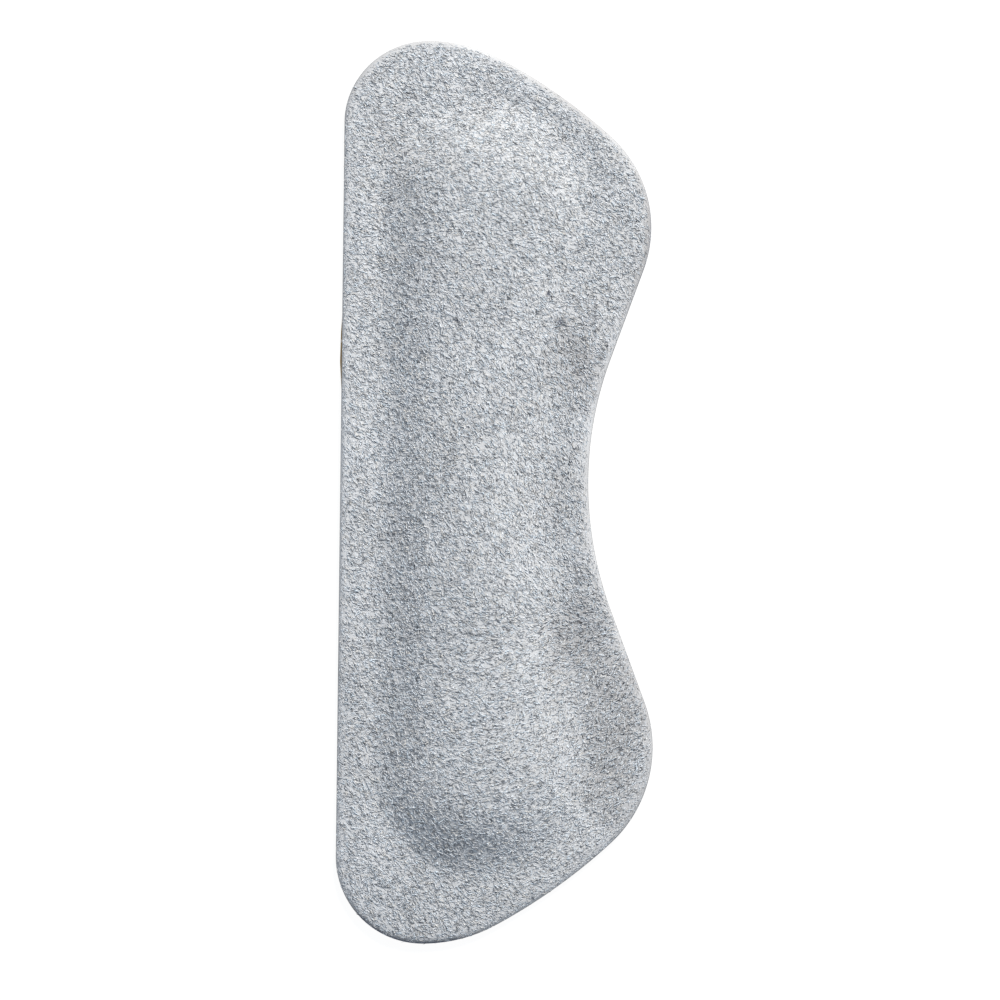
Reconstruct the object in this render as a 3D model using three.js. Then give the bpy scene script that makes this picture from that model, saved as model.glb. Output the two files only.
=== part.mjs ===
// Heel protector: a self-adhesive shoe pad, suede formed over a raised foam core, with a paper-faced back.
// Millimetres, +Z up out of the suede face, +Y along the pad, the straight edge on the -X side.
// The origin is on the underside, at the middle of the pad's box.
import * as THREE from 'three';

// Driving dimensions

const LENGTH = 100;
const BACKING_THICKNESS = 0.35; // adhesive film and release paper together
const GLUE_LINE = 0.05; // clearance between two layers
const SUEDE_WALL = 1.15;
const RIM_HEIGHT = 1.5; // top of the flat rim above the floor
const VALLEY_HEIGHT = 1.36; // the rim is pressed down a little along the foot of the core
const CORE_RISE = 2.45; // the crown of the core above the valley
const CORE_SOFTNESS = 4.75; // how far in the suede takes to climb most of the rise
const CORE_LENGTH = 80; // the core is measured along the middle of its slope
const CORE_EDGE = 6.8; // from the straight edge to the middle of the core's slope
const CORE_FOOT = 3.1; // from the middle of the slope out to its foot
const CORE_CROWN = 4.8; // from the middle of the slope in to the flat crown
const CORE_RINGS = 8;
const FOAM_FOOT = 1.0; // the foam ends this far outside the middle of the slope
const RECESS_FOOT = 1.8; // the suede leaves the backing this far outside the middle of the slope
const FOAM_CLEARANCE = 0.1;
const PAPER_INSET = 0.12; // the paper is cut this much inside the suede
const PAPER_PEEK = 0.34; // and slips out by this much over a short stretch of the straight edge
const PAPER_PEEK_MIDDLE = 14.5;
const PAPER_PEEK_REACH = 7.5;

// Each outline is one end of the pad, mirrored for the other. It runs from the middle of the straight edge
// round the corner, over the crest, down the shoulder and round the lobe, by arcs given in degrees of turn.
// A straight flank then leads into the waist. The steps are points along a stretch, alike on every outline.
const STEPS = { edge: 12, flank: 4, waist: 6 };
const PAD_OUTLINE = {
  edge: 0,
  length: LENGTH,
  waistRadius: 40.6,
  arcs: [
    { stretch: 'corner', radius: 9.35, turn: 90, steps: 8 },
    { stretch: 'crest', radius: 16.6, turn: 28.5, steps: 4 },
    { stretch: 'shoulder', radius: 62, turn: 14, steps: 4 },
    { stretch: 'lobe', radius: 14.1, turn: 67.5, steps: 8 },
  ],
};
const CORE_OUTLINE = {
  edge: CORE_EDGE,
  length: CORE_LENGTH,
  waistRadius: 46,
  arcs: [
    { stretch: 'corner', radius: 7.8, turn: 90, steps: 8 },
    { stretch: 'crest', radius: 30, turn: 5, steps: 4 },
    { stretch: 'shoulder', radius: 7.2, turn: 30, steps: 4 },
    { stretch: 'lobe', radius: 8.7, turn: 64, steps: 8 },
  ],
};

// The cut edge of the suede is skived: it leans in as it climbs to the rim.
const SKIVED_EDGE = [
  { inset: 0, height: 0.85 },
  { inset: 0.22, height: 1.2 },
  { inset: 0.65, height: 1.42 },
  { inset: 1.4, height: RIM_HEIGHT },
];

const FINISHES = {
  suede: { color: 0xb4b8bd, roughness: 0.95, metalness: 0 },
  foam: { color: 0xe6dfcc, roughness: 0.9, metalness: 0 },
  paper: { color: 0xb98a4c, roughness: 0.6, metalness: 0 },
};

const SUEDE_BASE = BACKING_THICKNESS + GLUE_LINE;

// Outlines

// The point at a distance from another, in a direction.
function pointFrom(start, direction, distance) {
  return new THREE.Vector2(Math.cos(direction), Math.sin(direction)).multiplyScalar(distance).add(start);
}

// Points along an arc from a point and a heading. A right-hand turn is positive.
function walkArc(start, heading, radius, turn, steps) {
  const toCentre = heading - Math.sign(turn) * Math.PI / 2;
  const centre = pointFrom(start, toCentre, radius);
  return Array.from({ length: steps }, (_, step) => {
    return pointFrom(centre, toCentre + Math.PI - turn * (step + 1) / steps, radius);
  });
}

// Points along a straight stretch, its end included and its start left out.
function walkStraight(start, end, steps) {
  return Array.from({ length: steps }, (_, step) => start.clone().lerp(end, (step + 1) / steps));
}

// One end of an outline, grown outwards by an offset, from the straight edge to the middle of the waist.
function endPoints(outline, offset) {
  const cornerRadius = outline.arcs[0].radius + offset;
  const middle = new THREE.Vector2(outline.edge - offset, 0);
  const cornerStart = new THREE.Vector2(middle.x, outline.length / 2 + offset - cornerRadius);
  const points = [middle, ...walkStraight(middle, cornerStart, STEPS.edge)];
  let heading = Math.PI / 2;
  for (const arc of outline.arcs) {
    const turn = THREE.MathUtils.degToRad(arc.turn);
    points.push(...walkArc(points.at(-1), heading, arc.radius + offset, turn, arc.steps));
    heading -= turn;
  }
  const waistTurn = heading + Math.PI / 2;
  const waistRadius = outline.waistRadius - offset;
  const flankStart = points.at(-1);
  const flankDrop = flankStart.y + waistRadius * Math.sin(waistTurn);
  const flankLength = flankDrop / Math.cos(waistTurn);
  const flankEnd = pointFrom(flankStart, heading, flankLength);
  points.push(...walkStraight(flankStart, flankEnd, STEPS.flank));
  points.push(...walkArc(flankEnd, heading, waistRadius, waistTurn, STEPS.waist));
  return points;
}

// The whole closed outline, counter-clockwise from above. Every ring has the same number of points.
function ring(outline, offset) {
  const upper = endPoints(outline, offset);
  const lower = upper.slice(1, -1).map((point) => new THREE.Vector2(point.x, -point.y));
  return [...lower, ...upper.reverse()];
}

// Solids

// A closed body wrapped through a stack of rings, from a filled first ring to a filled last one.
function wrapRings(rings) {
  const positions = rings.flatMap(({ points, height }) => points.flatMap(({ x, y }) => [x, y, height]));
  const count = rings[0].points.length;
  const triangles = [];
  for (let level = 0; level + 1 < rings.length; level += 1) {
    for (let index = 0; index < count; index += 1) {
      const here = level * count + index;
      const next = level * count + (index + 1) % count;
      triangles.push(here, next, next + count, here, next + count, here + count);
    }
  }
  const lastLevel = (rings.length - 1) * count;
  for (const [a, b, c] of THREE.ShapeUtils.triangulateShape(rings[0].points, [])) triangles.push(a, c, b);
  for (const [a, b, c] of THREE.ShapeUtils.triangulateShape(rings.at(-1).points, [])) {
    triangles.push(lastLevel + a, lastLevel + b, lastLevel + c);
  }
  const geometry = new THREE.BufferGeometry();
  geometry.setAttribute('position', new THREE.Float32BufferAttribute(positions, 3));
  geometry.setIndex(triangles);
  geometry.computeVertexNormals();
  return geometry;
}

// Height of the suede over the core, at an offset outwards from the middle of the slope.
function faceHeight(offset) {
  const climb = (CORE_FOOT - offset) / CORE_SOFTNESS;
  return VALLEY_HEIGHT + CORE_RISE * (1 - Math.exp(-climb * climb));
}

// Rings over the core from its foot to its crown, at a height given for each offset.
function coreRings(foot, heightAt) {
  return Array.from({ length: CORE_RINGS + 1 }, (_, step) => {
    const offset = THREE.MathUtils.lerp(foot, -CORE_CROWN, step / CORE_RINGS);
    return { points: ring(CORE_OUTLINE, offset), height: heightAt(offset) };
  });
}

function suedeCover() {
  const recessHeight = (offset) => Math.max(SUEDE_BASE, faceHeight(offset) - SUEDE_WALL);
  const underside = coreRings(RECESS_FOOT, recessHeight);
  const cutEdge = { points: ring(PAD_OUTLINE, 0), height: SUEDE_BASE };
  const edge = SKIVED_EDGE.map(({ inset, height }) => ({ points: ring(PAD_OUTLINE, -inset), height }));
  return wrapRings([...underside.reverse(), cutEdge, ...edge, ...coreRings(CORE_FOOT, faceHeight)]);
}

function foamPad() {
  const top = coreRings(FOAM_FOOT, (offset) => faceHeight(offset) - SUEDE_WALL - FOAM_CLEARANCE);
  const base = { points: top[0].points, height: SUEDE_BASE };
  return wrapRings([base, ...top]);
}

// How far the release paper slips out past its cut at a place along the straight edge.
function paperSlip(point) {
  const reach = Math.abs(point.y - PAPER_PEEK_MIDDLE) / PAPER_PEEK_REACH;
  if (reach >= 1 || point.x > PAPER_PEEK) return 0;
  return PAPER_PEEK * Math.cos(reach * Math.PI / 2) ** 2;
}

function adhesiveBacking() {
  const points = ring(PAD_OUTLINE, -PAPER_INSET);
  for (const point of points) point.x -= paperSlip(point);
  return wrapRings([{ points, height: 0 }, { points, height: BACKING_THICKNESS }]);
}

// Assembly

function piece(name, geometry, finish) {
  const mesh = new THREE.Mesh(geometry, new THREE.MeshStandardMaterial(finish));
  mesh.name = name;
  return mesh;
}

const heelProtector = new THREE.Group();
heelProtector.name = 'heel_protector';
heelProtector.add(
  piece('suede_cover', suedeCover(), FINISHES.suede),
  piece('foam_pad', foamPad(), FINISHES.foam),
  piece('adhesive_backing', adhesiveBacking(), FINISHES.paper),
);
const box = new THREE.Box3().setFromObject(heelProtector);
heelProtector.position.x = -(box.min.x + box.max.x) / 2;

export default heelProtector;
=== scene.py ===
"""Looks of the heel protector: a grey suede pad with a short nap, raised over foam, on a paper-faced back.

The suede face, its skived edge and its underside are one closed skin, grown from the same outlines as the
solids. Coats of curved nap fibres stand on it. Sizes are named in millimetres and degrees, and every mesh is
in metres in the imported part's frame.
"""
import math

import bpy
import numpy as np
from mathutils import Matrix, Vector, noise
from mathutils.geometry import delaunay_2d_cdt


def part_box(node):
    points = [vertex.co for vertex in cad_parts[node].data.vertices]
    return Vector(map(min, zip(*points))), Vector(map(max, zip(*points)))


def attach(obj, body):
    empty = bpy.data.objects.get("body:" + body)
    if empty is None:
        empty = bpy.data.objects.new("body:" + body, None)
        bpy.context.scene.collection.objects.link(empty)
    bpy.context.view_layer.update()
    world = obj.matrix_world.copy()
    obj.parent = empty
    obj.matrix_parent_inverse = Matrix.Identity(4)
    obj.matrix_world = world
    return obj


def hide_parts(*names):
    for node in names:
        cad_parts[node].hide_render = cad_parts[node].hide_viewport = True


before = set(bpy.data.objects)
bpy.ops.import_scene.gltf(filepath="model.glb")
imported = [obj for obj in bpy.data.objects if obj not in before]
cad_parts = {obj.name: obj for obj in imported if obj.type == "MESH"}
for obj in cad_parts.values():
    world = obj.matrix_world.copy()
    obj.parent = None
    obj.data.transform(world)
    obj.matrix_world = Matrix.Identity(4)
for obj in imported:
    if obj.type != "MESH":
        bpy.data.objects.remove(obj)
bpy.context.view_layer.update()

MM = 0.001
TINY = 1e-9

# Plan outlines, from the straight edge and from the middle of the length
PAD_OUTLINE = {
    "edge": 0.0,
    "length": 100.0,
    "waist_radius": 40.6,
    "arcs": [
        {"stretch": "corner", "radius": 9.35, "turn": 90.0},
        {"stretch": "crest", "radius": 16.6, "turn": 28.5},
        {"stretch": "shoulder", "radius": 62.0, "turn": 14.0},
        {"stretch": "lobe", "radius": 14.1, "turn": 67.5},
    ],
}
CORE_OUTLINE = {
    "edge": 6.8,
    "length": 80.0,
    "waist_radius": 46.0,
    "arcs": [
        {"stretch": "corner", "radius": 7.8, "turn": 90.0},
        {"stretch": "crest", "radius": 30.0, "turn": 5.0},
        {"stretch": "shoulder", "radius": 7.2, "turn": 30.0},
        {"stretch": "lobe", "radius": 8.7, "turn": 64.0},
    ],
}

# Heights of the suede above the floor, and the reach of its raised core from the core's outline
SUEDE_BASE = 0.4
SUEDE_WALL = 1.15
RIM_HEIGHT = 1.5
VALLEY_HEIGHT = 1.36
CORE_RISE = 2.45
CORE_SOFTNESS = 4.75
CORE_FOOT = 3.1
CORE_CROWN = 4.8
RECESS_FOOT = 1.8
RECESS_RINGS = 8
NAP_DEPTH = 0.12  # the skin lies this much below the solid's face, for the nap to fill

# The skived edge, from the face down to the backing
EDGE_BAND = 1.4
CUT_HEIGHT = 0.85
SKIVED_EDGE = [
    {"inset": 1.05, "height": 1.47},
    {"inset": 0.65, "height": 1.42},
    {"inset": 0.4, "height": 1.33},
    {"inset": 0.22, "height": 1.2},
    {"inset": 0.08, "height": 1.04},
    {"inset": 0.0, "height": CUT_HEIGHT},
    {"inset": 0.0, "height": 0.62},
    {"inset": 0.03, "height": SUEDE_BASE},
]
SKIVED_SLOPE = [row for row in reversed(SKIVED_EDGE) if row["height"] >= CUT_HEIGHT]
SLOPE_INSETS = [row["inset"] for row in SKIVED_SLOPE] + [EDGE_BAND]
SLOPE_HEIGHTS = [row["height"] for row in SKIVED_SLOPE] + [RIM_HEIGHT]

# Points of the skin: their spacing, and how many the straight flank and the waist get
SKIN_SPACING = 0.27
FLANK_STEPS = 39
WAIST_STEPS = 53
GRID_CLEARANCE = 0.6 * SKIN_SPACING
POINTS_AT_A_TIME = 4096


# Outlines

def stretch_steps():
    """How many points each stretch of an outline gets, so that every ring matches the others."""
    arcs = PAD_OUTLINE["arcs"]
    steps = {"edge": round((PAD_OUTLINE["length"] / 2 - arcs[0]["radius"]) / SKIN_SPACING)}
    for arc in arcs:
        steps[arc["stretch"]] = round(arc["radius"] * math.radians(arc["turn"]) / SKIN_SPACING)
    return {**steps, "flank": FLANK_STEPS, "waist": WAIST_STEPS}


STEPS = stretch_steps()


def walk_arc(start, heading, radius, turn, steps):
    """Points along an arc, its start left out. A right-hand turn is positive."""
    to_centre = heading - math.copysign(math.pi / 2, turn)
    centre = start + radius * np.array([math.cos(to_centre), math.sin(to_centre)])
    angles = to_centre + math.pi - turn * np.arange(1, steps + 1) / steps
    return centre + radius * np.stack([np.cos(angles), np.sin(angles)], 1)


def walk_straight(start, end, steps):
    """Points along a straight stretch, its start left out."""
    share = np.arange(1, steps + 1)[:, None] / steps
    return start + (end - start) * share


def ring(outline, offset):
    """A closed outline grown outwards by an offset, counter-clockwise from above."""
    corner = outline["arcs"][0]["radius"] + offset
    middle = np.array([outline["edge"] - offset, 0.0])
    corner_start = np.array([middle[0], outline["length"] / 2 + offset - corner])
    runs = [middle[None], walk_straight(middle, corner_start, STEPS["edge"])]
    heading = math.pi / 2
    for arc in outline["arcs"]:
        turn = math.radians(arc["turn"])
        runs.append(walk_arc(runs[-1][-1], heading, arc["radius"] + offset, turn, STEPS[arc["stretch"]]))
        heading -= turn
    waist_turn = heading + math.pi / 2
    waist_radius = outline["waist_radius"] - offset
    flank_start = runs[-1][-1]
    flank = (flank_start[1] + waist_radius * math.sin(waist_turn)) / math.cos(waist_turn)
    flank_end = flank_start + flank * np.array([math.cos(heading), math.sin(heading)])
    runs.append(walk_straight(flank_start, flank_end, STEPS["flank"]))
    runs.append(walk_arc(flank_end, heading, waist_radius, waist_turn, STEPS["waist"]))
    upper = np.concatenate(runs)
    lower = upper[1:-1] * [1, -1]
    return np.concatenate([lower, upper[::-1]])


PAD_RING = ring(PAD_OUTLINE, 0)
CORE_RING = ring(CORE_OUTLINE, 0)


def gap_to_sides(points, loop):
    """Gap and way for some points, from the two sides that meet at the loop's nearest corner."""
    along = np.roll(loop, -1, 0) - loop
    nearest = ((points[:, None] - loop[None]) ** 2).sum(2).argmin(1)
    best = np.full(len(points), np.inf)
    gaps = np.zeros(len(points))
    ways = np.zeros((len(points), 2))
    for corner in (nearest, (nearest - 1) % len(loop)):
        step = along[corner]
        apart = points - loop[corner]
        share = np.clip((apart * step).sum(1) / (step ** 2).sum(1), 0, 1)
        away = apart - step * share[:, None]
        far = np.hypot(away[:, 0], away[:, 1])
        side = step[:, 1] * apart[:, 0] - step[:, 0] * apart[:, 1]
        closer = far < best
        best = np.where(closer, far, best)
        gaps = np.where(closer, np.copysign(far, side), gaps)
        ways = np.where(closer[:, None], np.copysign(1, side)[:, None] * away, ways)
    return gaps, ways / np.maximum(np.abs(gaps), TINY)[:, None]


def gap_outside(points, loop):
    """Distance of each point from a counter-clockwise loop, positive outside it, and the way it grows."""
    starts = range(0, len(points), POINTS_AT_A_TIME)
    found = [gap_to_sides(points[start:start + POINTS_AT_A_TIME], loop) for start in starts]
    gaps, ways = zip(*found)
    return np.concatenate(gaps), np.concatenate(ways)


# Height of the suede face

# Uneven hide: small clumps and soft swells, which fade out towards the edge
CLUMPS = {"size": 1.1, "amount": 0.03, "seed": 3.1}
SWELLS = {"size": 9.0, "amount": 0.06, "seed": 7.7}
RELIEF_FADE = 2.0

# A faint ridge pressed across the lower lobe, which fades over a share of its length at each end
CREASE = {
    "start": (22.4, -32.8),
    "end": (30.0, -40.6),
    "width": 0.75,
    "fade": 0.25,
    "height": 0.14,
    "tone": 0.16,
}


def ease(share):
    """A share held between 0 and 1, with a soft start and end."""
    share = np.clip(share, 0, 1)
    return share * share * (3 - 2 * share)


def bumps(points, kind):
    """Smooth noise over the plan, of a kind that gives its size, amount and seed."""
    size = kind["size"]
    waves = [noise.noise(Vector((x / size, y / size, kind["seed"]))) for x, y in points]
    return kind["amount"] * np.array(waves)


def core_height(core_gap):
    """Height of the suede over the core, at a gap outwards from the core's outline."""
    climb = np.maximum(CORE_FOOT - core_gap, 0) / CORE_SOFTNESS
    return VALLEY_HEIGHT + CORE_RISE * (1 - np.exp(-climb * climb))


def face_height(core_gap, edge_gap):
    """Height of the suede face: flat rim, pressed valley and raised core."""
    past_foot = np.maximum(core_gap - CORE_FOOT, 0)
    room = np.maximum(past_foot + edge_gap - EDGE_BAND, TINY)
    skived = np.interp(edge_gap, SLOPE_INSETS, SLOPE_HEIGHTS) - RIM_HEIGHT
    return core_height(core_gap) + (RIM_HEIGHT - VALLEY_HEIGHT) * ease(past_foot / room) + skived


def crease_share(points):
    """How much of the crease is felt at plan points."""
    start, end = np.array(CREASE["start"]), np.array(CREASE["end"])
    length = np.linalg.norm(end - start)
    along = (end - start) / length
    share = (points - start) @ along / length
    across = (points - start) @ [-along[1], along[0]]
    window = ease(share / CREASE["fade"]) * ease((1 - share) / CREASE["fade"])
    return window * np.exp(-(across / CREASE["width"]) ** 2)


def face_relief(points, edge_gap):
    """What the hide's unevenness adds to the face at plan points."""
    relief = bumps(points, CLUMPS)
    relief += bumps(points, SWELLS) + CREASE["height"] * crease_share(points)
    return relief * ease((edge_gap - EDGE_BAND) / RELIEF_FADE)


def surface(points):
    """Height of the suede face at plan points, their gap to the edge and the way out to it."""
    core_gap = gap_outside(points, CORE_RING)[0]
    edge_gap, outward = gap_outside(points, PAD_RING)
    edge_gap = -edge_gap
    sunk = NAP_DEPTH * ease(edge_gap / EDGE_BAND)
    height = face_height(core_gap, edge_gap) - sunk + face_relief(points, edge_gap)
    return {"height": height, "edge_gap": edge_gap, "outward": outward}


# Meshes

INSIDE_ONLY = 1
MERGE_WITHIN = 1e-7


def face_points():
    """Plan points of the face: its boundary ring, then a triangular grid inside it."""
    boundary = ring(PAD_OUTLINE, -EDGE_BAND)
    low, high = boundary.min(0), boundary.max(0)
    row_step = SKIN_SPACING * math.sqrt(3) / 2
    rows = np.arange(low[1], high[1], row_step)
    columns = np.arange(low[0], high[0], SKIN_SPACING)
    grid = np.stack(np.meshgrid(columns, rows), 2)
    grid[1::2, :, 0] += SKIN_SPACING / 2
    grid = grid.reshape(-1, 2)
    inside = gap_outside(grid, boundary)[0] < -GRID_CLEARANCE
    return boundary, grid[inside]


def triangulate(boundary, inner):
    """Triangles over a boundary ring and the points inside it, as rows of point numbers."""
    points = np.concatenate([boundary, inner])
    places = [Vector(point) for point in points]
    rim = list(range(len(boundary)))
    _, _, faces, sources, _, _ = delaunay_2d_cdt(places, [], [rim], INSIDE_ONLY, MERGE_WITHIN)
    triangles = np.array([[sources[corner][0] for corner in face] for face in faces])
    plan = points[triangles]
    side_a, side_b = plan[:, 1] - plan[:, 0], plan[:, 2] - plan[:, 0]
    flipped = side_a[:, 0] * side_b[:, 1] < side_a[:, 1] * side_b[:, 0]
    triangles[flipped] = triangles[flipped][:, ::-1]
    return triangles


def placed(plan, height):
    """Plan points and heights in millimetres as places in the part's frame, in metres."""
    straight_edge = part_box("suede_cover")[0][0]
    places = np.empty((len(plan), 3))
    places[:, :2] = plan * MM
    places[:, 0] += straight_edge
    places[:, 2] = height * MM
    return places


def set_attribute(mesh, name, values):
    """Keep a value or a vector for each point of a mesh."""
    kind, field = ("FLOAT", "value") if values.ndim == 1 else ("FLOAT_VECTOR", "vector")
    layer = mesh.attributes.new(name, kind, "POINT")
    layer.data.foreach_set(field, values.astype(np.float32).ravel())


def new_piece(name, mesh, material):
    """An object in the scene for a mesh, with one material."""
    piece = bpy.data.objects.new(name, mesh)
    bpy.context.scene.collection.objects.link(piece)
    mesh.materials.clear()
    mesh.materials.append(material)
    return piece


# Tone of the suede over the plan

BROAD_MOTTLE = {"size": 6.0, "amount": 0.05, "seed": 12.3}
FINE_MOTTLE = {"size": 2.2, "amount": 0.03, "seed": 5.9}

# Patches of painted light and painted shade on slopes and rims, lighter or darker than the rest, and a dark
# spot and two dark specks of the suede's own
LIGHT_SHADE_AND_SPECK_PATCHES = [
    {"name": "lobe dip, upper", "x": 26.3, "y": 14.2, "across": 2.4, "along": 5.5, "tone": -0.13},
    {"name": "lobe dip, lower", "x": 27.0, "y": -16.3, "across": 3.0, "along": 5.5, "tone": -0.105},
    {"name": "waist slope", "x": 24.0, "y": 5.0, "across": 2.0, "along": 14.0, "tone": -0.04},
    {"name": "lower lobe", "x": 30.0, "y": -28.0, "across": 4.0, "along": 9.5, "tone": -0.155},
    {"name": "upper left slope", "x": 5.0, "y": 39.5, "across": 3.5, "along": 5.0, "tone": -0.045},
    {"name": "upper right rim", "x": 23.8, "y": 41.5, "across": 3.0, "along": 2.5, "tone": 0.03},
    {"name": "straight rim", "x": 1.0, "y": 6.0, "across": 2.6, "along": 26.0, "tone": 0.06},
    {"name": "lower crown", "x": 14.0, "y": -28.0, "across": 4.5, "along": 8.0, "tone": 0.05},
    {"name": "lower end, right", "x": 20.0, "y": -37.0, "across": 4.5, "along": 3.5, "tone": 0.09},
    {"name": "lower end, left", "x": 5.0, "y": -39.5, "across": 3.0, "along": 5.0, "tone": 0.11},
    {"name": "lower right slope", "x": 23.2, "y": -21.0, "across": 2.5, "along": 7.0, "tone": -0.06},
    {"name": "upper end rim", "x": 13.0, "y": 47.8, "across": 6.0, "along": 2.0, "tone": 0.08},
    {"name": "middle left", "x": 5.0, "y": 4.0, "across": 3.0, "along": 6.0, "tone": 0.05},
    {"name": "dark spot", "x": 24.1, "y": 17.9, "across": 0.7, "along": 0.5, "tone": -0.3},
    {"name": "dark speck, left", "x": 12.7, "y": 17.6, "across": 0.19, "along": 0.19, "tone": -1.1},
    {"name": "dark speck, right", "x": 22.8, "y": 20.9, "across": 0.19, "along": 0.19, "tone": -1.1},
]

# Stretches of the skived rim that are worn smooth: how wide they are bare, and how much painted shade darkens
# them, most where they face the lamp
RIM_WIDTH = 1.2
SMOOTH_AND_SHADED_RIMS = [
    {"name": "upper left corner", "x": 2.5, "y": 47.0, "reach": 6.0, "bare": 0.40, "tone": -0.13},
    {"name": "upper end", "x": 13.0, "y": 50.0, "reach": 7.5, "bare": 0.32, "tone": -0.11},
    {"name": "upper shoulder", "x": 25.0, "y": 42.0, "reach": 7.5, "bare": 0.32, "tone": -0.18},
    {"name": "upper lobe", "x": 33.5, "y": 27.0, "reach": 9.0, "bare": 0.22, "tone": -0.18},
    {"name": "waist", "x": 25.5, "y": 2.0, "reach": 11.0, "bare": 0.18, "tone": -0.04},
    {"name": "lower lobe", "x": 33.5, "y": -27.0, "reach": 9.0, "bare": 0.16, "tone": -0.06},
    {"name": "straight edge", "x": 0.0, "y": -4.0, "reach": 26.0, "bare": 0.16, "tone": 0.0},
]

# The skin's tone: darker on the cut edge, and painted shade on the rim of the lower end, which faces away
# from the light
SKIN_TONE = 0.3
CUT_TOP = 1.0
UNDERSIDE_GAP = -1.0
CUT_EDGE = {"tone": -0.3, "start": -0.25, "fade": 0.3}
PAINTED_RIM_SHADE = {
    "tone": -0.4,
    "width": 0.35,
    "top": -43.0,
    "top_fade": 5.0,
    "left": -3.0,
    "right": 19.0,
    "side_fade": 8.0,
}


def suede_tone(points):
    """How much lighter or darker the suede is at plan points, with the patches of painted light and shade."""
    tone = bumps(points, BROAD_MOTTLE) + bumps(points, FINE_MOTTLE)
    tone += CREASE["tone"] * crease_share(points)
    for patch in LIGHT_SHADE_AND_SPECK_PATCHES:
        across = (points[:, 0] - patch["x"]) / patch["across"]
        along = (points[:, 1] - patch["y"]) / patch["along"]
        tone += patch["tone"] * np.exp(-across ** 2 - along ** 2)
    return tone


def along_rim(points, column):
    """A column of the smooth stretches of the rim, blended at plan points; the tone column is painted shade.
    """
    blend = np.zeros(len(points))
    for rim in SMOOTH_AND_SHADED_RIMS:
        far = ((points - [rim["x"], rim["y"]]) ** 2).sum(1)
        blend += rim[column] * np.exp(-far / rim["reach"] ** 2)
    return blend


def skin_tone(plan, tone, rim_gap):
    """Tone of the bare skin, from the suede's tone and the gap to the cut edge, negative down its side, with
    painted shade on the lower end's rim.
    """
    x, y = plan.T
    cut = CUT_EDGE["tone"] * (1 - ease((rim_gap - CUT_EDGE["start"]) / CUT_EDGE["fade"]))
    # Painted shade along the rim of the lower end
    painted_shade = ease((PAINTED_RIM_SHADE["top"] - y) / PAINTED_RIM_SHADE["top_fade"])
    painted_shade *= ease((PAINTED_RIM_SHADE["right"] - x) / PAINTED_RIM_SHADE["side_fade"])
    painted_shade *= 1 - ease(rim_gap / PAINTED_RIM_SHADE["width"])
    painted_shade *= ease((x - PAINTED_RIM_SHADE["left"]) / PAINTED_RIM_SHADE["side_fade"])
    return np.clip(SKIN_TONE + tone + cut + PAINTED_RIM_SHADE["tone"] * painted_shade, 0, 1)


# Nodes

def add(tree, kind, inputs=(), **settings):
    """Add a node with its inputs set or linked, by name or number, and give its first output."""
    node = tree.nodes.new(kind)
    for name, value in settings.items():
        setattr(node, name, value)
    for key, value in dict(inputs).items():
        named = [socket for socket in node.inputs if socket.enabled and socket.name == key]
        socket = named[0] if named else node.inputs[key]
        if isinstance(value, bpy.types.NodeSocket):
            tree.links.new(value, socket)
        else:
            socket.default_value = value
    return next((socket for socket in node.outputs if socket.enabled), None)


def calc(tree, operation, *values):
    """One step of arithmetic on one to three values."""
    return add(tree, "ShaderNodeMath", enumerate(values), operation=operation)


# Materials

def new_material(name, values):
    """A material, its nodes and its shader's sockets, with what is the same all over set on those sockets."""
    material = bpy.data.materials.new(name)
    material.use_nodes = True
    sockets = material.node_tree.nodes["Principled BSDF"].inputs
    for socket, value in values.items():
        sockets[socket].default_value = value
    return material, material.node_tree, sockets


def kept_value(tree, name):
    """A value that the mesh keeps for each of its points."""
    return add(tree, "ShaderNodeAttribute", attribute_name=name).node.outputs["Fac"]


def own_place(tree):
    """The place of each point in the part's frame."""
    return add(tree, "ShaderNodeTexCoord").node.outputs["Object"]


def ramp(tree, value, stops):
    """A colour for each value, blended between stops."""
    colour = add(tree, "ShaderNodeValToRGB", {"Fac": value})
    elements = colour.node.color_ramp.elements
    while len(elements) < len(stops):
        elements.new(0.5)
    for element, (position, shade) in zip(elements, stops):
        element.position = position
        element.color = (*shade, 1)
    return colour


def nap_material():
    """Fibres of the nap: pale cool grey, each its own tone, and near-black in the coat that is painted shade.
    """
    material, tree, sockets = new_material("suede_nap", {
        "Roughness": 0.85,
        "Specular IOR Level": 0.2,
        "Sheen Weight": 0.15,
        "Sheen Roughness": 0.5,
    })
    # The lowest stops colour the near-black coat of painted shade
    colour = ramp(tree, kept_value(tree, "tone"), [
        (0.0, (0.05, 0.05, 0.06)),
        (0.2, (0.20, 0.213, 0.232)),
        (0.6, (0.665, 0.677, 0.696)),
        (1.0, (0.76, 0.772, 0.791)),
    ])
    tint = ramp(tree, kept_value(tree, "tint"), [
        (0.0, (0.86, 0.95, 1.0)),
        (0.35, (0.955, 0.975, 1.0)),
        (0.75, (1.0, 0.985, 0.97)),
        (1.0, (1.0, 0.93, 0.83)),
    ])
    layers = {"Factor": 1.0, "A": colour, "B": tint}
    dyed = add(tree, "ShaderNodeMix", layers, data_type="RGBA", blend_type="MULTIPLY")
    tree.links.new(dyed, sockets["Base Color"])
    return material


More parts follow.
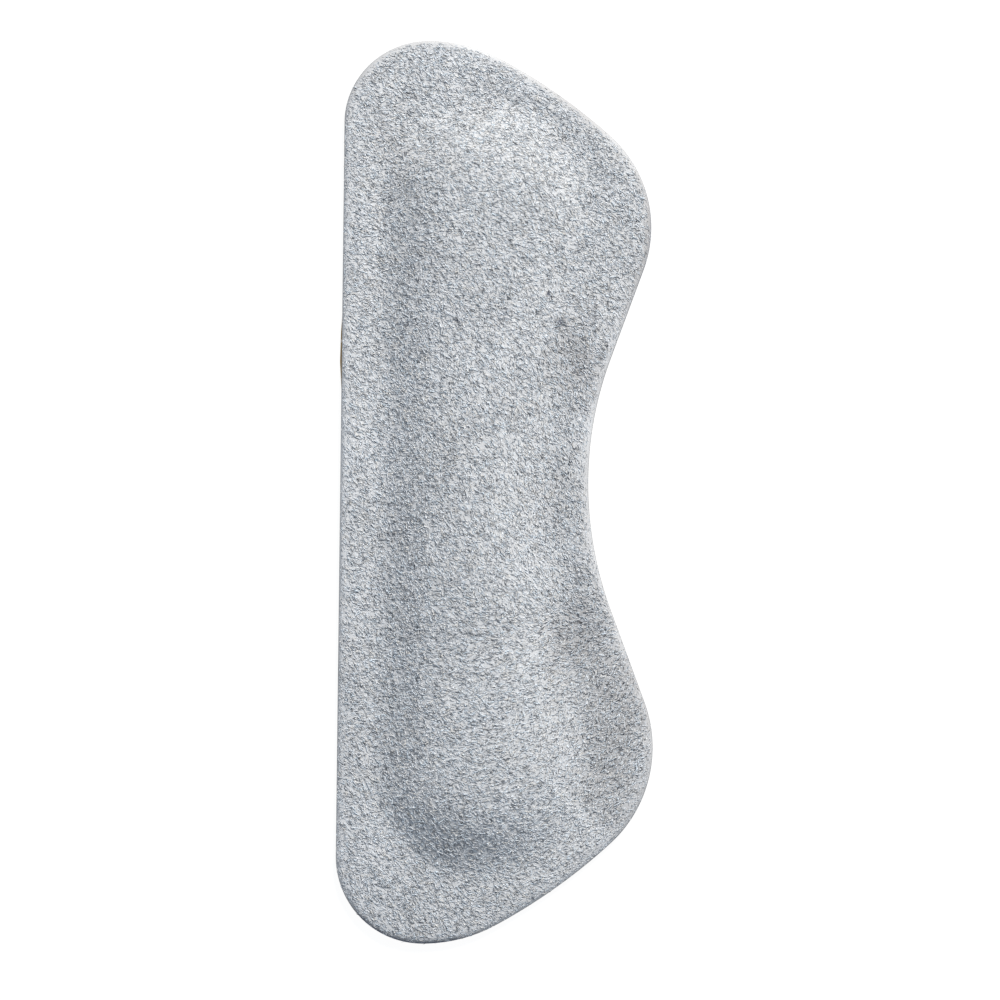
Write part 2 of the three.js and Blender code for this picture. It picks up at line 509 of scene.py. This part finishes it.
def skin_material():
    """Suede under the nap, with a smooth pale skived rim, a darker cut edge and painted shade on the lower
    end's rim.
    """
    material, tree, sockets = new_material("suede_skin", {"Roughness": 0.9, "Specular IOR Level": 0.2})
    # The darkest, bluish stop is reached on the cut edge and in the painted shade of the lower end's rim
    colour = ramp(tree, kept_value(tree, "tone"), [
        (0.0, (0.10, 0.11, 0.14)),
        (0.12, (0.315, 0.305, 0.30)),
        (0.3, (0.47, 0.468, 0.468)),
        (0.6, (0.59, 0.59, 0.595)),
        (1.0, (0.70, 0.70, 0.71)),
    ])
    grain = add(tree, "ShaderNodeTexNoise", {"Vector": own_place(tree), "Scale": 5200, "Detail": 3})
    bump = add(tree, "ShaderNodeBump", {"Strength": 0.5, "Distance": 0.05 * MM, "Height": grain})
    tree.links.new(colour, sockets["Base Color"])
    tree.links.new(bump, sockets["Normal"])
    return material


def paper_material():
    """Honey-brown release paper with faint pulp fibres."""
    material, tree, sockets = new_material("release_paper", {"Roughness": 0.5})
    pulp = add(tree, "ShaderNodeTexNoise", {"Vector": own_place(tree), "Scale": 900, "Detail": 6})
    colour = ramp(tree, pulp, [
        (0.3, (0.52, 0.29, 0.07)),
        (0.7, (0.70, 0.43, 0.13)),
    ])
    tree.links.new(colour, sockets["Base Color"])
    return material


def foam_material():
    """Cream latex foam with open cells."""
    material, tree, sockets = new_material("latex_foam", {"Roughness": 0.9})
    cells = add(tree, "ShaderNodeTexVoronoi", {"Vector": own_place(tree), "Scale": 1600})
    colour = ramp(tree, cells, [
        (0.0, (0.50, 0.44, 0.30)),
        (0.6, (0.82, 0.77, 0.62)),
    ])
    tree.links.new(colour, sockets["Base Color"])
    return material


# Guides of the nap, kept on the suede: where it grows, how freely it lies, its tone with painted light and
# shade, and its brushed way

NAP_GUIDES = ("cover", "free", "nap_tone", "brushed")

# The nap starts within this width of the edge, and further in on the smooth stretches of the rim
BARE_RIM = 0.09
BARE_START = 0.5
BARE_WANDER = {"size": 7.0, "amount": 0.3, "seed": 51.0}

# The way the nap was last brushed, in degrees from +X, around some places on the pad
WAY_REACH = 11.0
BRUSHED_WAYS = [
    {"place": "upper left", "x": 6.0, "y": 36.0, "way": -24.0},
    {"place": "middle left", "x": 8.0, "y": 0.0, "way": -38.0},
    {"place": "lower left", "x": 8.0, "y": -36.0, "way": -30.0},
    {"place": "upper lobe", "x": 28.0, "y": 28.0, "way": -35.0},
    {"place": "waist", "x": 24.0, "y": 2.0, "way": -66.0},
    {"place": "lower lobe", "x": 27.0, "y": -30.0, "way": 42.0},
]


def brushed_way(points):
    """The brushed way at plan points, blended between the places in the table."""
    total = np.zeros(len(points))
    weight = np.zeros(len(points))
    for spot in BRUSHED_WAYS:
        far = ((points - [spot["x"], spot["y"]]) ** 2).sum(1)
        near = np.exp(-far / WAY_REACH ** 2) + TINY
        total += near * spot["way"]
        weight += near
    return total / weight


def nap_guides(plan, tone, edge_gap, outward):
    """The guides at plan points of the suede. Near the edge the nap is brushed along it."""
    bare = (BARE_RIM + along_rim(plan, "bare")) * (1 + bumps(plan, BARE_WANDER))
    cover = ease((edge_gap - bare * BARE_START) / bare)
    free = ease(edge_gap / EDGE_BAND)
    way = np.radians(brushed_way(plan))
    flat = np.column_stack([np.cos(way), np.sin(way), np.zeros(len(plan))])
    leaving = (flat[:, :2] * outward).sum(1) * (1 - free)
    flat[:, :2] -= outward * leaving[:, None]
    return dict(zip(NAP_GUIDES, (cover, free, tone, flat)))


# Suede skin

def skin_levels():
    """Rings of the skin below its face: down the skived edge, then up the recess to its ceiling."""
    levels = []
    for row in SKIVED_EDGE:
        sunk = NAP_DEPTH * ease(row["inset"] / EDGE_BAND)
        rim_gap = min(row["inset"], row["height"] - CUT_TOP)
        plan = ring(PAD_OUTLINE, -row["inset"])
        levels.append({"plan": plan, "height": row["height"] - sunk, "rim_gap": rim_gap})
    for step in range(RECESS_RINGS + 1):
        offset = RECESS_FOOT - (RECESS_FOOT + CORE_CROWN) * step / RECESS_RINGS
        ceiling = max(SUEDE_BASE, core_height(offset) - SUEDE_WALL)
        levels.append({"plan": ring(CORE_OUTLINE, offset), "height": ceiling, "rim_gap": UNDERSIDE_GAP})
    return levels


def skin_faces(triangles, face_count, ring_count, level_count):
    """Faces of the skin: the face's triangles, a band down to each level, and the recess's ceiling."""
    here = np.arange(ring_count)
    after = np.roll(here, -1)
    faces = triangles.tolist()
    upper = here
    for level in range(level_count):
        lower = face_count + level * ring_count + here
        faces += np.stack([upper, lower, lower[after], upper[after]], 1).tolist()
        upper = lower
    faces.append(upper[::-1].tolist())
    return faces


def suede_skin(material):
    """The closed suede wall: face, skived edge and the hollow underside that takes the foam."""
    boundary, inner = face_points()
    face_plan = np.concatenate([boundary, inner])
    face = surface(face_plan)
    levels = skin_levels()
    count = len(boundary)
    plan = np.concatenate([face_plan] + [level["plan"] for level in levels])
    height = np.concatenate([face["height"], np.repeat([level["height"] for level in levels], count)])
    rim_gap = np.concatenate([face["edge_gap"], np.repeat([level["rim_gap"] for level in levels], count)])
    outward = np.concatenate([face["outward"]] + [face["outward"][:count]] * len(levels))
    faces = skin_faces(triangulate(boundary, inner), len(face_plan), count, len(levels))
    mesh = bpy.data.meshes.new("suede_skin")
    mesh.from_pydata(placed(plan, height).tolist(), [], faces)
    mesh.update()
    mesh.polygons.foreach_set("use_smooth", np.ones(len(mesh.polygons), bool))
    edge_gap = -gap_outside(plan, PAD_RING)[0]
    # Painted shade on the rims, strongest where they face the lamp
    tone = suede_tone(plan) + along_rim(plan, "tone") * (1 - ease(edge_gap / RIM_WIDTH))
    guides = nap_guides(plan, tone, edge_gap, outward)
    guides["cover"][-count * (RECESS_RINGS + 1):] = 0
    for name, values in guides.items():
        set_attribute(mesh, name, values)
    set_attribute(mesh, "tone", skin_tone(plan, tone, rim_gap))
    return new_piece("suede_skin", mesh, material)


# Nap: coats of short curled fibres, each coat a piece of its own. Thickness is a share of a fibre's length.

NAP_COLUMNS = ("piece", "per_mm2", "rings", "shortest", "longest", "thickness", "lift", "shade", "seed")
NAP_COATS = [dict(zip(NAP_COLUMNS, row)) for row in (
    ("suede_nap_soft_1", 13, 2, 0.26, 0.56, 0.108, 13, 0.69, 1),
    ("suede_nap_soft_2", 13, 2, 0.26, 0.56, 0.108, 13, 0.69, 2),
    ("suede_nap_strands", 6.5, 3, 0.45, 0.90, 0.050, 13, 0.71, 3),
    ("suede_nap_hairs", 0.7, 4, 0.60, 1.10, 0.034, 17, 0.76, 4),
    # Painted shade: near-black fibres that stand for the shaded gaps between the fibres
    ("suede_nap_dark", 12.5, 2, 0.32, 0.75, 0.050, 14, 0.115, 5),
)]
NAP_INPUTS = {
    "Fibres per square metre": "NodeSocketFloat",
    "Rings": "NodeSocketInt",
    "Shortest": "NodeSocketFloat",
    "Longest": "NodeSocketFloat",
    "Thickness": "NodeSocketFloat",
    "Lift": "NodeSocketFloat",
    "Shade": "NodeSocketFloat",
    "Seed": "NodeSocketInt",
    "Finish": "NodeSocketMaterial",
}

# Form of a fibre
FIBRE_SIDES = 3
DROOP = 0.22

# How fibres lie: swung aside in locks, some turned back, each lifted and rolled by its own draw
SWING = 48.0
SWING_SIZE = 1.3
WAY_SPREAD = 52.0
TURNED_BACK = 0.35
LIFT_SPREAD = 12.0
ROLL_STEP = 60.0
ROLL_REACH = 1.49  # in steps, before rounding
EDGE_SWING = 0.1  # share of the swing that is left at the edge
EDGE_LENGTH = 0.6  # share of the length that is left at the edge

# Tufts: fibres are left out where smooth noise is low, with a frayed limit
TUFT_SIZE = 0.42
TUFT_GAPS = 0.34
TUFT_FRAY = 0.1
SHADE_SPREAD = 0.10

# Seeds of the draws that each fibre makes
SPREAD_DRAW = 11
BACK_DRAW = 12
LIFT_DRAW = 13
ROLL_DRAW = 14
FRAY_DRAW = 15
SHADE_DRAW = 16
TINT_DRAW = 17
LENGTH_DRAW = 18

# Corners of a fibre's triangles in its cell of the UV map
CELL_CORNERS = np.array([[0.1, 0.1], [0.9, 0.1], [0.1, 0.9]])


def chance(tree, seed, low=0.0, high=1.0):
    """An even draw for each fibre between two values."""
    return add(tree, "FunctionNodeRandomValue", {"Min": low, "Max": high, "Seed": seed})


def either_way(tree, seed, reach):
    """An even draw for each fibre, as far below zero as above it."""
    return chance(tree, seed, -reach, reach)


def guide(tree, name, data_type="FLOAT"):
    """A guide that the suede keeps for the nap."""
    return add(tree, "GeometryNodeInputNamedAttribute", {"Name": name}, data_type=data_type)


def held_at_edge(tree, share):
    """A share at the edge of the pad that grows to 1 where the nap lies freely."""
    return calc(tree, "MULTIPLY_ADD", guide(tree, "free"), 1 - share, share)


def drift(tree, size):
    """Smooth noise from 0 to 1 over the suede, with bumps of a size."""
    return add(tree, "ShaderNodeTexNoise", {"Scale": 1 / (size * MM), "Detail": 0.0})


def curled_fibre(tree, given):
    """One fibre of unit length along X: a three-sided spindle, pointed at both ends, drooping to its tip."""
    form = {"Segments": FIBRE_SIDES, "Rings": given["Rings"], "Radius": 1.0}
    spindle = add(tree, "GeometryNodeMeshUVSphere", form)
    axes = add(tree, "ShaderNodeSeparateXYZ", {0: add(tree, "GeometryNodeInputPosition")}).node.outputs
    share = calc(tree, "MULTIPLY_ADD", axes["Z"], 0.5, 0.5)
    side = calc(tree, "MULTIPLY", axes["Y"], given["Thickness"])
    up = calc(tree, "MULTIPLY", axes["X"], calc(tree, "MULTIPLY", given["Thickness"], -1.0))
    droop = calc(tree, "MULTIPLY", calc(tree, "POWER", share, 2.0), -DROOP)
    place = add(tree, "ShaderNodeCombineXYZ", {"X": share, "Y": side, "Z": calc(tree, "ADD", up, droop)})
    fibre = add(tree, "GeometryNodeSetPosition", {"Geometry": spindle, "Position": place})
    fibre = add(tree, "GeometryNodeTriangulate", {"Mesh": fibre})
    return add(tree, "GeometryNodeSetShadeSmooth", {"Geometry": fibre})


def fibre_turn(tree, given, normal):
    """How each fibre lies: brushed along the suede, swung aside in locks, lifted a little and rolled."""
    reach = math.radians(SWING)
    swing = calc(tree, "MULTIPLY_ADD", drift(tree, SWING_SIZE), 2 * reach, -reach)
    swing = calc(tree, "ADD", swing, either_way(tree, SPREAD_DRAW, math.radians(WAY_SPREAD)))
    swing = calc(tree, "MULTIPLY", swing, held_at_edge(tree, EDGE_SWING))
    back = calc(tree, "LESS_THAN", chance(tree, BACK_DRAW), TURNED_BACK)
    swing = calc(tree, "MULTIPLY_ADD", back, math.pi, swing)
    lift = calc(tree, "ADD", given["Lift"], either_way(tree, LIFT_DRAW, math.radians(LIFT_SPREAD)))
    dip = calc(tree, "MULTIPLY", lift, -1.0)
    steps = calc(tree, "ROUND", either_way(tree, ROLL_DRAW, ROLL_REACH))
    roll = calc(tree, "MULTIPLY", steps, math.radians(ROLL_STEP))
    own = add(tree, "ShaderNodeCombineXYZ", {"X": roll, "Y": dip, "Z": swing})
    upright = add(tree, "FunctionNodeAlignRotationToVector", {"Vector": normal}, axis="Z")
    along = {"Rotation": upright, "Vector": guide(tree, "brushed", "FLOAT_VECTOR")}
    brushed = add(tree, "FunctionNodeAlignRotationToVector", along, axis="X", pivot_axis="Z")
    turned = {"Rotation": brushed, "Rotate By": own}
    return add(tree, "FunctionNodeRotateRotation", turned, rotation_space="LOCAL")


def nap_tree():
    """Nodes that scatter one coat of fibres over the suede, in tufts, and shade each fibre."""
    tree = bpy.data.node_groups.new("nap_coat", "GeometryNodeTree")
    tree.interface.new_socket("Suede", in_out="INPUT", socket_type="NodeSocketGeometry")
    for name, kind in NAP_INPUTS.items():
        tree.interface.new_socket(name, in_out="INPUT", socket_type=kind)
    tree.interface.new_socket("Nap", in_out="OUTPUT", socket_type="NodeSocketGeometry")
    given = tree.nodes.new("NodeGroupInput").outputs
    density = calc(tree, "MULTIPLY", given["Fibres per square metre"], guide(tree, "cover"))
    scatter = {"Mesh": given["Suede"], "Density": density, "Seed": given["Seed"]}
    roots = add(tree, "GeometryNodeDistributePointsOnFaces", scatter)
    turn = fibre_turn(tree, given, roots.node.outputs["Normal"])
    tuft = calc(tree, "ADD", drift(tree, TUFT_SIZE), either_way(tree, FRAY_DRAW, TUFT_FRAY))
    thin = calc(tree, "LESS_THAN", tuft, TUFT_GAPS)
    roots = add(tree, "GeometryNodeDeleteGeometry", {"Geometry": roots, "Selection": thin}, domain="POINT")
    # The nap's tone carries the painted light and shade of the patches and rims
    shade = calc(tree, "ADD", given["Shade"], guide(tree, "nap_tone"))
    shade = calc(tree, "ADD", shade, either_way(tree, SHADE_DRAW, SHADE_SPREAD))
    for name, value in (("tone", shade), ("tint", chance(tree, TINT_DRAW))):
        stored = {"Geometry": roots, "Name": name, "Value": value}
        roots = add(tree, "GeometryNodeStoreNamedAttribute", stored)
    length = chance(tree, LENGTH_DRAW, given["Shortest"], given["Longest"])
    length = calc(tree, "MULTIPLY", length, held_at_edge(tree, EDGE_LENGTH))
    fibres = {"Points": roots, "Instance": curled_fibre(tree, given), "Rotation": turn, "Scale": length}
    nap = add(tree, "GeometryNodeInstanceOnPoints", fibres)
    for name in NAP_GUIDES:
        nap = add(tree, "GeometryNodeRemoveAttribute", {"Geometry": nap, "Name": name})
    nap = add(tree, "GeometryNodeRealizeInstances", {"Geometry": nap})
    nap = add(tree, "GeometryNodeSetMaterial", {"Geometry": nap, "Material": given["Finish"]})
    add(tree, "NodeGroupOutput", {"Nap": nap})
    return tree


def lay_out_shades(mesh, rings):
    """Give each fibre a small cell of its own in a UV map."""
    faces_per_fibre = 2 * FIBRE_SIDES * (rings - 1)
    owner = np.arange(len(mesh.polygons)) // faces_per_fibre
    cells = math.ceil(math.sqrt(owner[-1] + 1))
    spots = (np.column_stack([owner % cells, owner // cells])[:, None] + CELL_CORNERS) / cells
    layer = mesh.uv_layers.new(name="OFBake")
    layer.uv.foreach_set("vector", spots.astype(np.float32).ravel())


def nap_coat(coat, tree, suede, material):
    """One coat of the nap, grown on a copy of the suede and made a plain mesh."""
    ground = suede.copy()
    piece = new_piece(coat["piece"], ground, material)
    modifier = piece.modifiers.new("nap", "NODES")
    modifier.node_group = tree
    values = {
        "Fibres per square metre": coat["per_mm2"] / MM ** 2,
        "Rings": coat["rings"],
        "Shortest": coat["shortest"] * MM,
        "Longest": coat["longest"] * MM,
        "Thickness": coat["thickness"],
        "Lift": math.radians(coat["lift"]),
        "Shade": coat["shade"],
        "Seed": coat["seed"],
        "Finish": material,
    }
    for socket in tree.interface.items_tree:
        if socket.name in values:
            modifier[socket.identifier] = values[socket.name]
    grown = piece.evaluated_get(bpy.context.evaluated_depsgraph_get())
    mesh = bpy.data.meshes.new_from_object(grown)
    piece.modifiers.remove(modifier)
    piece.data = mesh
    bpy.data.meshes.remove(ground)
    lay_out_shades(mesh, coat["rings"])
    return piece


# Stage

# Camera, as the picture was taken
VIEW_DISTANCE = 350.0
VIEW_TILT = 8.44
VIEW_ROLL = 0.26
VIEW_TARGET = (0.55, -1.73, 0.0)
VIEW_LENS = 114.81
VIEW_SENSOR = 36.0

# The lamp and the sky, in metres and watts
KEY_AZIMUTH = 63.0
KEY_ELEVATION = 40.0
KEY_DISTANCE = 0.6
KEY_SIZE = 0.22
KEY_POWER = 6.17
KEY_COLOUR = (1.0, 0.985, 0.955)
SKY_STRENGTH = 0.525
SKY_COLOUR = (0.72, 0.84, 1.0, 1)

# The floor is a hair above the pad's underside, so that the back is in front of it when seen from below
FLOOR_SIZE = 3.0
FLOOR_HEIGHT = 0.01


def photo_camera():
    """The camera above the pad, a little towards its lower end."""
    data = bpy.data.cameras.new("camera")
    data.lens = VIEW_LENS
    data.sensor_width = VIEW_SENSOR
    camera = bpy.data.objects.new("camera", data)
    bpy.context.scene.collection.objects.link(camera)
    tilt, roll = math.radians(VIEW_TILT), math.radians(VIEW_ROLL)
    back = Vector((0, -math.sin(tilt), math.cos(tilt))) * VIEW_DISTANCE * MM
    turn = Matrix.Rotation(tilt, 4, "X") @ Matrix.Rotation(roll, 4, "Z")
    camera.matrix_world = Matrix.Translation(Vector(VIEW_TARGET) * MM + back) @ turn
    bpy.context.scene.camera = camera


def studio_light():
    """One soft round lamp from the upper right, and an even cool sky."""
    azimuth, elevation = math.radians(KEY_AZIMUTH), math.radians(KEY_ELEVATION)
    level = math.cos(elevation)
    towards = Vector((level * math.cos(azimuth), level * math.sin(azimuth), math.sin(elevation)))
    data = bpy.data.lights.new("key", "AREA")
    data.shape = "DISK"
    data.size = KEY_SIZE
    data.energy = KEY_POWER
    data.color = KEY_COLOUR
    key = bpy.data.objects.new("key", data)
    key.location = towards * KEY_DISTANCE
    key.rotation_euler = towards.to_track_quat("Z", "Y").to_euler()
    bpy.context.scene.collection.objects.link(key)
    world = bpy.context.scene.world or bpy.data.worlds.new("studio")
    bpy.context.scene.world = world
    world.use_nodes = True
    sky = world.node_tree.nodes["Background"].inputs
    sky["Color"].default_value = SKY_COLOUR
    sky["Strength"].default_value = SKY_STRENGTH


def pale_floor():
    """A bright white floor that glows, so that the pad throws hardly any shadow on it."""
    bpy.ops.mesh.primitive_plane_add(size=FLOOR_SIZE, location=(0, 0, FLOOR_HEIGHT * MM))
    floor = bpy.context.object
    floor.name = "pale_floor"
    material = new_material("pale_floor", {
        "Base Color": (0.1, 0.1, 0.1, 1),
        "Emission Color": (1, 1, 1, 1),
        "Emission Strength": 0.94,
        "Roughness": 0.8,
        "Specular IOR Level": 0.1,
    })[0]
    floor.data.materials.append(material)


photo_camera()
studio_light()
pale_floor()
bpy.context.scene.view_settings.view_transform = "Standard"

skin = suede_skin(skin_material())
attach(skin, "root")
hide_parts("suede_cover")

nap_nodes = nap_tree()
nap_finish = nap_material()
for nap_row in NAP_COATS:
    nap_piece = nap_coat(nap_row, nap_nodes, skin.data, nap_finish)
    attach(nap_piece, "root")

for node, finish in (("foam_pad", foam_material()), ("adhesive_backing", paper_material())):
    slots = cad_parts[node].data.materials
    slots.clear()
    slots.append(finish)
